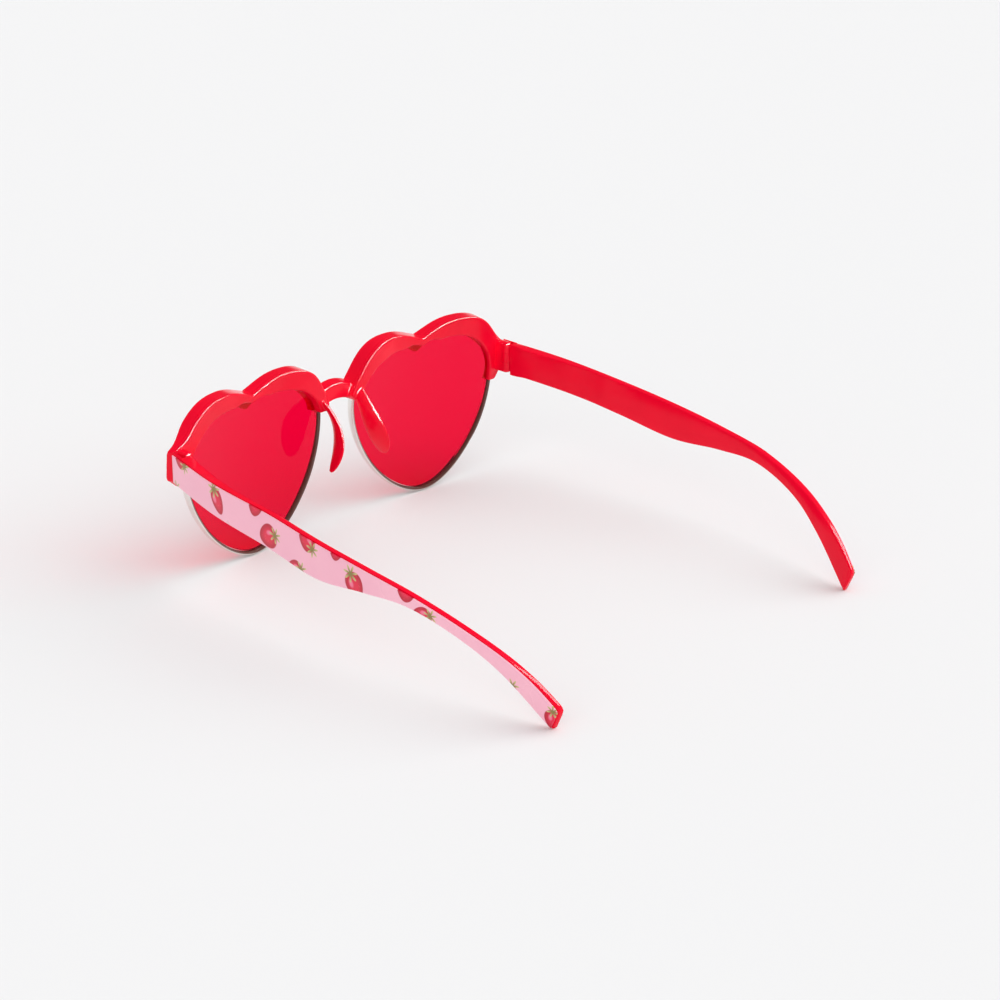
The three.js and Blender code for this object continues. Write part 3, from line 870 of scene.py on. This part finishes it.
skinGroup = makeSkinGroup()
bumpDepth = 0.0001


def newMaterial(name):
    material = bpy.data.materials.new(name)
    material.use_nodes = True
    tree = material.node_tree
    return material, tree, tree.nodes["Principled BSDF"]


def objectCoordinates(tree):
    return tree.nodes.new("ShaderNodeTexCoord").outputs["Object"]


def addSkin(tree, shader, settings):
    node = tree.nodes.new("ShaderNodeGroup")
    node.node_tree = skinGroup
    tree.links.new(objectCoordinates(tree), node.inputs["Vector"])
    for label in ("Colour", "Deep Colour"):
        node.inputs[label].default_value = (*settings[label], 1)
    for label in ("Drift Scale", "Ripple Scale", "Gloss Low", "Gloss High"):
        node.inputs[label].default_value = settings[label]
    tree.links.new(node.outputs["Colour"], shader.inputs["Base Color"])
    tree.links.new(node.outputs["Roughness"], shader.inputs["Roughness"])
    bump = tree.nodes.new("ShaderNodeBump")
    bump.inputs["Strength"].default_value = settings["Bump"]
    bump.inputs["Distance"].default_value = bumpDepth
    tree.links.new(node.outputs["Height"], bump.inputs["Height"])
    tree.links.new(bump.outputs["Normal"], shader.inputs["Normal"])
    return node


redPlastic = {"Colour": (0.88, 0.002, 0.026), "Deep Colour": (0.83, 0.001, 0.023), "Drift Scale": 90.0,
              "Ripple Scale": 900.0, "Gloss Low": 0.1, "Gloss High": 0.15, "Bump": 0.04,
              "browShine": 0.2, "templeShine": 0.15}
silverWire = {"Colour": (0.86, 0.83, 0.8), "Deep Colour": (0.8, 0.76, 0.72), "Drift Scale": 160.0,
              "Ripple Scale": 2500.0, "Gloss Low": 0.08, "Gloss High": 0.16, "Bump": 0.05,
              # the rear colour is painted shade and dark reflection, in brown, with less metal
              "rear": (0.115, 0.05, 0.04, 1), "shadeMetalDrop": -0.85}
screwSteel = {"Colour": (0.55, 0.53, 0.5), "Deep Colour": (0.42, 0.4, 0.38), "Drift Scale": 900.0,
              "Ripple Scale": 5000.0, "Gloss Low": 0.22, "Gloss High": 0.38, "Bump": 0.1}
tintedLens = {"tint": (0.97, 0.001, 0.042, 1), "shade": (0.9, 0.1, 0.27, 1),
              "roughness": 0.02, "ior": 1.22}


def makePlastic(name, shine):
    material, tree, shader = newMaterial(name)
    addSkin(tree, shader, redPlastic)
    shader.inputs["Specular IOR Level"].default_value = shine
    return material


def makeMetal(name, settings):
    material, tree, shader = newMaterial(name)
    addSkin(tree, shader, settings)
    shader.inputs["Metallic"].default_value = 1.0
    return material


def makeWireMaterial():
    # bright metal, with painted shade and dark reflection in brown and less metal where the mesh is marked
    material = makeMetal("silverWire", silverWire)
    tree = material.node_tree
    shader = tree.nodes["Principled BSDF"]
    bright = shader.inputs["Base Color"].links[0].from_socket
    mark = tree.nodes.new("ShaderNodeAttribute")
    mark.attribute_name = "paintedWireShade"
    colour = addMix(tree, mark.outputs["Fac"], bright, silverWire["rear"])
    tree.links.new(colour, shader.inputs["Base Color"])
    shadedMetallic = addMath(tree, "MULTIPLY_ADD", mark.outputs["Fac"], silverWire["shadeMetalDrop"], 1.0)
    tree.links.new(shadedMetallic, shader.inputs["Metallic"])
    return material


def makeLensMaterial():
    # clear tinted plastic, with a colour of its own for the light that it lets through to the floor
    material, tree, shader = newMaterial("tintedLens")
    shader.inputs["Base Color"].default_value = tintedLens["tint"]
    shader.inputs["Roughness"].default_value = tintedLens["roughness"]
    shader.inputs["Transmission Weight"].default_value = 1.0
    shader.inputs["IOR"].default_value = tintedLens["ior"]
    output = tree.nodes["Material Output"]
    clear = tree.nodes.new("ShaderNodeBsdfTransparent")
    clear.inputs["Color"].default_value = tintedLens["shade"]
    path = tree.nodes.new("ShaderNodeLightPath")
    mix = tree.nodes.new("ShaderNodeMixShader")
    tree.links.new(path.outputs["Is Shadow Ray"], mix.inputs[0])
    tree.links.new(shader.outputs[0], mix.inputs[1])
    tree.links.new(clear.outputs[0], mix.inputs[2])
    tree.links.new(mix.outputs[0], output.inputs["Surface"])
    return material


berryPrint = {
    "Colour": (0.97, 0.5, 0.61), "Deep Colour": (0.94, 0.46, 0.58), "Drift Scale": 60.0,
    "Ripple Scale": 1200.0, "Gloss Low": 0.25, "Gloss High": 0.32, "Bump": 0.03,
    "inks": {"Flesh": (0.78, 0.015, 0.06, 1), "Deep Flesh": (0.5, 0.008, 0.03, 1),
             "Shine": (0.95, 0.25, 0.4, 1), "Seed": (0.85, 0.2, 0.2, 1),
             "Leaf": (0.25, 0.2, 0.05, 1), "Pale Leaf": (0.62, 0.5, 0.22, 1)},
    # place along and up the temple (mm), direction from the tip to the crown (degrees),
    # half length (mm), plumpness
    "berries": [(-64.2, 42.5, -38, 3.4, 0.85), (-69.0, 30.3, 48, 3.6, 0.85),
                (-45.0, 35.6, 115, 4.1, 0.64), (-28.1, 39.2, 74, 3.6, 0.85),
                (-22.8, 31.4, 17, 3.7, 1.02), (-6.0, 35.1, -42, 3.6, 0.85),
                (5.8, 35.4, 79, 3.0, 0.85), (-11.5, 24.7, 19, 3.5, 0.85),
                (12.9, 27.2, 116, 4.0, 0.85), (31.7, 30.6, 80, 3.2, 1.0),
                (36.9, 25.0, 10, 3.3, 0.8), (62.2, 8.4, 53, 3.2, 0.85),
                (75.5, 3.1, 86, 3.0, 0.9)],
}
# one berry, in half lengths: how it widens, its glint, its seeds and its crown of leaves
berryShape = {
    "widen": 0.2,
    "width": 0.95,
    "glintAt": (0.2, 0.26),
    "glintFlat": 2.5,
    "glintReach": 0.16,
    "seedScale": 5.5,
    "crownAt": 0.86,
    "leafTurns": 3.5,         # half the number of leaves
    "leafLong": 0.52,
    "leafRoot": 0.14,
}


def makeBerryGroup():
    # a seeded body that narrows to its tip, and a crown of leaves
    s = berryShape
    value, colour = "NodeSocketFloat", "NodeSocketColor"
    places = ("Along", "Up", "At Along", "At Up", "Cosine", "Sine", "Size", "Plump")
    inks = ("Under", "Flesh", "Deep Flesh", "Shine", "Seed", "Leaf", "Pale Leaf")
    tree, given, out = newGroup(
        "printedBerry", [(label, value) for label in places] + [(label, colour) for label in inks],
        [("Colour", colour)])

    def calc(operation, *values):
        return addMath(tree, operation, *values)

    def square(item):
        return calc("POWER", item, 2.0)

    dx = calc("DIVIDE", calc("SUBTRACT", given["Along"], given["At Along"]), given["Size"])
    dy = calc("DIVIDE", calc("SUBTRACT", given["Up"], given["At Up"]), given["Size"])
    a = calc("ADD", calc("MULTIPLY", dx, given["Cosine"]), calc("MULTIPLY", dy, given["Sine"]))
    b = calc("SUBTRACT", calc("MULTIPLY", dy, given["Cosine"]), calc("MULTIPLY", dx, given["Sine"]))
    wide = calc("MULTIPLY", calc("MULTIPLY_ADD", a, s["widen"], s["width"]), given["Plump"])
    across = square(calc("ABSOLUTE", calc("DIVIDE", b, wide)))
    e = calc("SQRT", calc("ADD", calc("MULTIPLY", a, a), across))
    spot = tree.nodes.new("ShaderNodeCombineXYZ")
    tree.links.new(a, spot.inputs[0])
    tree.links.new(b, spot.inputs[1])
    seeds = tree.nodes.new("ShaderNodeTexVoronoi")
    seeds.inputs["Scale"].default_value = s["seedScale"]
    tree.links.new(spot.outputs[0], seeds.inputs["Vector"])
    body = addMix(tree, addRange(tree, e, 0.3, 1.0, 0, 1), given["Flesh"], given["Deep Flesh"])
    glintAlong, glintAcross = [square(calc("SUBTRACT", run, at)) for run, at in zip((a, b), s["glintAt"])]
    glint = calc("ADD", glintAlong, calc("MULTIPLY", glintAcross, s["glintFlat"]))
    body = addMix(tree, addRange(tree, glint, 0.0, s["glintReach"], 0.75, 0), body, given["Shine"])
    seeded = addRange(tree, seeds.outputs["Distance"], 0.1, 0.24, 0.45, 0)
    body = addMix(tree, seeded, body, given["Seed"])
    painted = addMix(tree, addRange(tree, e, 0.95, 1.04, 1, 0), given["Under"], body)
    up = calc("SUBTRACT", a, s["crownAt"])
    turn = calc("ARCTAN2", b, up)
    reach = calc("SQRT", calc("ADD", calc("MULTIPLY", up, up), calc("MULTIPLY", b, b)))
    lobes = square(calc("ABSOLUTE", calc("COSINE", calc("MULTIPLY", turn, s["leafTurns"]))))
    leaf = calc("MULTIPLY_ADD", lobes, s["leafLong"], s["leafRoot"])
    green = addMix(tree, addRange(tree, reach, 0.1, 0.6, 0, 1), given["Leaf"], given["Pale Leaf"])
    inside = addRange(tree, calc("SUBTRACT", reach, leaf), -0.04, 0.05, 1, 0)
    tree.links.new(addMix(tree, inside, painted, green), out["Colour"])
    return tree


def makePrintMaterial():
    material, tree, shader = newMaterial("berryPrint")
    skin = addSkin(tree, shader, berryPrint)
    spot = tree.nodes.new("ShaderNodeSeparateXYZ")
    tree.links.new(objectCoordinates(tree), spot.inputs[0])
    group = makeBerryGroup()
    under = skin.outputs["Colour"]
    for along, up, turn, size, plump in berryPrint["berries"]:
        node = tree.nodes.new("ShaderNodeGroup")
        node.node_tree = group
        tree.links.new(spot.outputs["Y"], node.inputs["Along"])
        tree.links.new(spot.outputs["Z"], node.inputs["Up"])
        tree.links.new(under, node.inputs["Under"])
        angle = math.radians(turn)
        settings = {"At Along": along * mm, "At Up": up * mm, "Cosine": math.cos(angle),
                    "Sine": math.sin(angle), "Size": size * mm, "Plump": plump, **berryPrint["inks"]}
        for label, item in settings.items():
            node.inputs[label].default_value = item
        under = node.outputs["Colour"]
    tree.links.new(under, shader.inputs["Base Color"])
    return material


def dress(piece, material):
    piece.data.materials.clear()
    piece.data.materials.append(material)


def finishPair(left, rightName, bodies, nodes, slot, material):
    right = mirrored(left, rightName)
    settle(right, 45)
    for piece, body, node in zip((left, right), bodies, nodes):
        dress(piece, material)
        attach(piece, body)
        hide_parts(node)
    print(slot, "modelled", len(left.data.polygons))
    return left, right


dress(makeBrow(), makePlastic("redPlastic", redPlastic["browShine"]))
fronts, arms = ("front", "front"), ("left_temple", "right_temple")
finishPair(makeLens(), "lensRight", fronts, ("lens_left", "lens_right"), "lens", makeLensMaterial())
wires = finishPair(makeWire(), "rimWireRight", fronts, ("rim_wire_left", "rim_wire_right"), "rim_wire",
                   makeWireMaterial())
# paint the shade and dark reflection onto each wire
for piece, side in zip(wires, (1, -1)):
    paintWireShade(piece, side)
finishPair(makeTemple(), "templeRight", arms, ("temple_left", "temple_right"), "temple",
           makePlastic("templePlastic", redPlastic["templeShine"]))
finishPair(makePrint(), "templePrintRight", arms, ("temple_print_left", "temple_print_right"),
           "temple_print", makePrintMaterial())
screwMaterial = makeMetal("screwSteel", screwSteel)
for side in ("left", "right"):
    for slot in bpy.data.objects["hinge_screw_" + side].material_slots:
        slot.material = screwMaterial
print("pieces dressed")

studio = {
    "floorColour": (0.82, 0.82, 0.825, 1),
    "floorSize": 12,
    "floorLevel": -0.0002,
    "low": (0.92, 0.92, 0.92, 1),
    "high": (0.1, 0.1, 0.1, 1),
    "skyline": (0.14, 0.28),
    "ambient": 0.6,
    "lamps": {
        "key": {"from": (-0.56, 0.46, 0.69), "strength": 1.95, "angle": 72},
        "fill": {"from": (0.8, 0.45, 0.35), "strength": 0.8, "angle": 60},
    },
    # lamps linked to a few pieces: lines of shine on the rounded edges of the plastic,
    # and the light that the lenses pass on to the floor
    "shine": {
        "shineRight": {"from": (-0.62, 0.4, 0.674), "strength": 13, "angle": 36, "on": ("browFrame",)},
        "lensGlow": {"from": (-0.56, 0.46, 0.69), "strength": 6.5, "angle": 60,
                     "on": ("lensLeft", "lensRight")},
        "shineMiddle": {"from": (-0.15, 0.68, 0.7), "strength": 27, "angle": 38, "on": ("browFrame",)},
        "shineLeft": {"from": (0.446, 0.762, 0.468), "strength": 27, "angle": 38, "on": ("browFrame",)},
        "shineTips": {"from": (-0.62, 0.4, 0.674), "strength": 4, "angle": 30,
                      "on": ("templeLeft", "templeRight")},
    },
}


def makeFloor():
    clearSelection()
    bpy.ops.mesh.primitive_plane_add(size=studio["floorSize"], location=(0, 0, studio["floorLevel"]))
    floor = bpy.context.object
    floor.name = "floor"
    material, tree, shader = newMaterial("paleFloor")
    shader.inputs["Base Color"].default_value = studio["floorColour"]
    shader.inputs["Roughness"].default_value = 0.9
    shader.inputs["Specular IOR Level"].default_value = 0.0
    dress(floor, material)


def makeSun(name, settings):
    lamp = bpy.data.lights.new(name, "SUN")
    lamp.energy = settings["strength"]
    lamp.angle = math.radians(settings["angle"])
    item = bpy.data.objects.new(name, lamp)
    item.rotation_euler = Vector(settings["from"]).to_track_quat("Z", "Y").to_euler()
    item.visible_glossy = False
    item.visible_transmission = False
    bpy.context.scene.collection.objects.link(item)
    return item


def makeShine(name, settings):
    item = makeSun(name, settings)
    item.visible_glossy = True
    item.visible_diffuse = False
    targets = bpy.data.collections.new(name)
    for target in settings["on"]:
        targets.objects.link(bpy.data.objects[target])
    item.light_linking.receiver_collection = targets


def makeWorld():
    # seen and mirrored: pale round the edge of the table, dim above it; otherwise an even soft light
    world = bpy.data.worlds.new("studio")
    bpy.context.scene.world = world
    world.use_nodes = True
    tree = world.node_tree
    even = tree.nodes["Background"]
    even.inputs["Color"].default_value = (1, 1, 1, 1)
    even.inputs["Strength"].default_value = studio["ambient"]
    spot = tree.nodes.new("ShaderNodeSeparateXYZ")
    tree.links.new(tree.nodes.new("ShaderNodeTexCoord").outputs["Generated"], spot.inputs[0])
    share = addRange(tree, spot.outputs["Z"], *studio["skyline"], 0, 1)
    seen = tree.nodes.new("ShaderNodeBackground")
    tree.links.new(addMix(tree, share, studio["low"], studio["high"]), seen.inputs["Color"])
    path = tree.nodes.new("ShaderNodeLightPath")
    bounced = addMath(tree, "MAXIMUM", path.outputs["Is Glossy Ray"], path.outputs["Is Transmission Ray"])
    direct = addMath(tree, "MAXIMUM", path.outputs["Is Camera Ray"], bounced)
    mix = tree.nodes.new("ShaderNodeMixShader")
    tree.links.new(direct, mix.inputs[0])
    tree.links.new(even.outputs[0], mix.inputs[1])
    tree.links.new(seen.outputs[0], mix.inputs[2])
    tree.links.new(mix.outputs[0], tree.nodes["World Output"].inputs["Surface"])


view = {
    "place": (0.608497, 0.570781, 0.3604),
    "right": (-0.6868096, 0.7268353, -0.0017397),
    "up": (-0.2712483, -0.254089, 0.9283658),
    "back": (0.6743271, 0.6380824, 0.3716636),
    "lens": 110.712,
    "sensor": 36,
    "nearest": 0.01,
}


def makeCamera():
    data = bpy.data.cameras.new("camera")
    data.lens = view["lens"]
    data.sensor_width = view["sensor"]
    data.clip_start = view["nearest"]
    item = bpy.data.objects.new("camera", data)
    turn = Matrix((view["right"], view["up"], view["back"])).transposed()
    item.location = view["place"]
    item.rotation_euler = turn.to_euler()
    bpy.context.scene.collection.objects.link(item)
    bpy.context.scene.camera = item


makeFloor()
for name, settings in studio["lamps"].items():
    makeSun(name, settings)
for name, settings in studio["shine"].items():
    makeShine(name, settings)
makeWorld()
makeCamera()
bpy.context.scene.view_settings.view_transform = "Standard"
clearSelection()
print("studio set")
